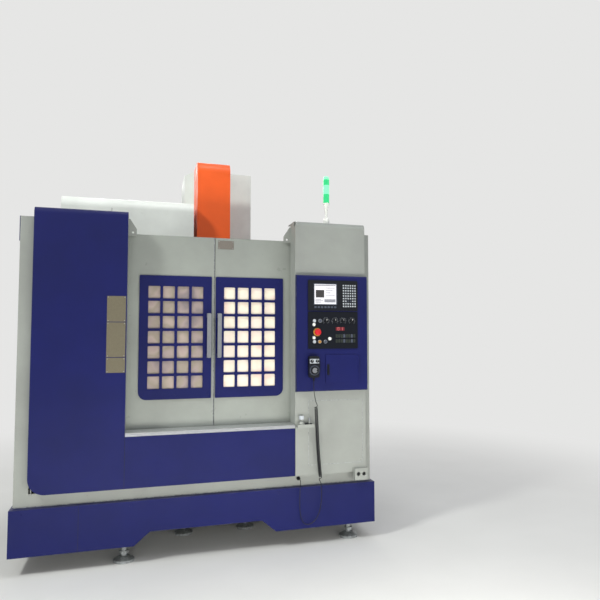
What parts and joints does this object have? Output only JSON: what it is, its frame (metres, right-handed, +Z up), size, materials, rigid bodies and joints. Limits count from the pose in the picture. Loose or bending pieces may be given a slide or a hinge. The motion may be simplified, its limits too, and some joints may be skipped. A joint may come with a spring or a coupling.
{
  "type": "vertical machining center",
  "caption": "Vertical machining center in a full sheet-metal enclosure with sliding front doors, an operator console, a cross table, a vertical spindle head and a tool magazine.",
  "frame": {"origin": "on the floor, under the middle of the machine's bounding box", "axes": "+Z up, +X to the right seen from the operator's side, the front faces -Y"},
  "size_m": [2.25, 2.3, 2.775],
  "materials": {
    "blue_paint": "gloss",
    "white_paint": "satin",
    "door_grey_paint": "satin",
    "orange_paint": "gloss",
    "machine_grey_paint": "satin paint on cast iron",
    "ground_steel": "ground",
    "galvanised_sheet": "matte",
    "black_paint": "satin",
    "black_plastic": "matte",
    "red_plastic": "gloss",
    "white_plastic": "gloss",
    "green_lens": "clear tinted",
    "screen_glass": "gloss",
    "window_pane": "frosted",
    "cord_jacket": "matte"
  },
  "bodies": {
    "frame": {"base_skirt": "blue_paint", "levelling_feet": "galvanised_sheet", "coolant_tank": "machine_grey_paint", "coolant_pump": "blue_paint", "bed": "machine_grey_paint", "column": "machine_grey_paint", "chip_pan": "galvanised_sheet", "left_side_panel": "white_paint", "right_side_panel": "white_paint", "rear_panel": "white_paint", "front_frame": "white_paint", "tower_cover": "blue_paint", "lower_front_panel": "blue_paint", "magazine_hood": "white_paint", "control_pillar": "white_paint", "console": "blue_paint", "display_unit": "black_plastic", "display_screen": "screen_glass", "operator_panel": "black_plastic", "pendant": "black_plastic", "pendant_coil": "cord_jacket", "pendant_lead": "cord_jacket", "lead_gland": "black_plastic", "stack_light": "green_lens", "air_gun": "white_paint", "service_box": "white_paint", "electric_cabinet": "white_paint", "magazine_bracket": "machine_grey_paint", "axis_motors": "black_paint", "door_rail": "ground_steel", "head_guard": "white_paint"},
    "left_door": {"door_left": "door_grey_paint", "door_left_lattice": "blue_paint", "door_left_window": "window_pane", "door_left_handle": "ground_steel"},
    "right_door": {"door_right": "door_grey_paint", "door_right_lattice": "blue_paint", "door_right_window": "window_pane", "door_right_handle": "ground_steel"},
    "saddle_unit": {"saddle": "machine_grey_paint"},
    "table_unit": {"table": "ground_steel"},
    "head_unit": {"head_casting": "machine_grey_paint", "spindle_motor": "black_paint", "motor_cover": "orange_paint"},
    "spindle_unit": {"spindle": "ground_steel"},
    "x_screw_unit": {"x_screw": "ground_steel"},
    "y_screw_unit": {"y_screw": "ground_steel"},
    "z_screw_unit": {"z_screw": "ground_steel"},
    "drum_unit": {"magazine_drum": "ground_steel"},
    "arm_unit": {"change_arm": "ground_steel"},
    "emergency_stop_unit": {"emergency_stop": "red_plastic"},
    "mode_knob_unit": {"mode_knob": "black_plastic"},
    "rapid_knob_unit": {"rapid_knob": "black_plastic"},
    "speed_knob_unit": {"speed_knob": "black_plastic"},
    "feed_knob_unit": {"feed_knob": "black_plastic"},
    "start_button_unit": {"start_button": "white_plastic"},
    "compartment_door_unit": {"compartment_door": "blue_paint"},
    "cabinet_door_unit": {"cabinet_door": "white_paint"},
    "main_switch_unit": {"main_switch": "red_plastic"},
    "pendant_wheel_unit": {"pendant_wheel": "black_plastic"}
  },
  "joints": [
    {"name": "left_door_slide", "type": "slide", "parent": "frame", "child": "left_door", "axis": [-1, 0, 0], "range_m": [0, 0.455]},
    {"name": "right_door_slide", "type": "slide", "parent": "frame", "child": "right_door", "axis": [1, 0, 0], "range_m": [0, 0.455]},
    {"name": "y_feed", "type": "slide", "parent": "frame", "child": "saddle_unit", "axis": [0, 1, 0], "range_m": [-0.25, 0.25]},
    {"name": "x_feed", "type": "slide", "parent": "saddle_unit", "child": "table_unit", "axis": [1, 0, 0], "range_m": [-0.4, 0.4]},
    {"name": "z_feed", "type": "slide", "parent": "frame", "child": "head_unit", "axis": [0, 0, -1], "range_m": [0, 0.5]},
    {"name": "spindle_turn", "type": "hinge", "parent": "head_unit", "child": "spindle_unit", "pos_m": [0.1075, -0.15, 1.5], "axis": [0, 0, 1], "continuous": true},
    {"name": "x_screw_turn", "type": "hinge", "parent": "saddle_unit", "child": "x_screw_unit", "pos_m": [0.1075, -0.15, 0.67], "axis": [1, 0, 0], "continuous": true},
    {"name": "y_screw_turn", "type": "hinge", "parent": "frame", "child": "y_screw_unit", "pos_m": [0.1075, 0, 0.478], "axis": [0, 1, 0], "continuous": true},
    {"name": "z_screw_turn", "type": "hinge", "parent": "frame", "child": "z_screw_unit", "pos_m": [0.1075, 0.416, 1.5], "axis": [0, 0, 1], "continuous": true},
    {"name": "drum_turn", "type": "hinge", "parent": "frame", "child": "drum_unit", "pos_m": [-0.4625, -0.15, 1.93], "axis": [1, 0, 0], "continuous": true},
    {"name": "arm_turn", "type": "hinge", "parent": "frame", "child": "arm_unit", "pos_m": [-0.1925, -0.15, 1.438], "axis": [0, 0, 1], "range_deg": [-20, 20]},
    {"name": "emergency_stop_push", "type": "slide", "parent": "frame", "child": "emergency_stop_unit", "axis": [0, 1, 0], "range_m": [0, 0.006], "stiffness_N_per_m": 800},
    {"name": "start_button_push", "type": "slide", "parent": "frame", "child": "start_button_unit", "axis": [0, 1, 0], "range_m": [0, 0.003], "stiffness_N_per_m": 400},
    {"name": "mode_knob_turn", "type": "hinge", "parent": "frame", "child": "mode_knob_unit", "pos_m": [0.766, -1.09, 1.474], "axis": [0, -1, 0], "range_deg": [-120, 120]},
    {"name": "rapid_knob_turn", "type": "hinge", "parent": "frame", "child": "rapid_knob_unit", "pos_m": [0.828, -1.09, 1.474], "axis": [0, -1, 0], "range_deg": [-60, 60]},
    {"name": "speed_knob_turn", "type": "hinge", "parent": "frame", "child": "speed_knob_unit", "pos_m": [0.886, -1.09, 1.474], "axis": [0, -1, 0], "range_deg": [-120, 120]},
    {"name": "feed_knob_turn", "type": "hinge", "parent": "frame", "child": "feed_knob_unit", "pos_m": [0.948, -1.09, 1.474], "axis": [0, -1, 0], "range_deg": [-120, 120]},
    {"name": "compartment_door_hinge", "type": "hinge", "parent": "frame", "child": "compartment_door_unit", "pos_m": [0.9955, -1.0945, 1.149], "axis": [0, 0, 1], "range_deg": [0, 100]},
    {"name": "cabinet_door_hinge", "type": "hinge", "parent": "frame", "child": "cabinet_door_unit", "pos_m": [-0.668, 1.13, 1.21], "axis": [0, 0, 1], "range_deg": [0, 110]},
    {"name": "main_switch_turn", "type": "hinge", "parent": "cabinet_door_unit", "child": "main_switch_unit", "pos_m": [0.09, 1.138, 1.68], "axis": [0, 1, 0], "range_deg": [0, 90]},
    {"name": "pendant_wheel_turn", "type": "hinge", "parent": "frame", "child": "pendant_wheel_unit", "pos_m": [0.673, -1.15, 1.148], "axis": [0, -1, 0], "continuous": true}
  ],
  "couplings": [
    {"joint": "x_screw_turn", "follows": "x_feed", "rad_per_m": 392.7},
    {"joint": "y_screw_turn", "follows": "y_feed", "rad_per_m": 392.7},
    {"joint": "z_screw_turn", "follows": "z_feed", "rad_per_m": 392.7}
  ]
}
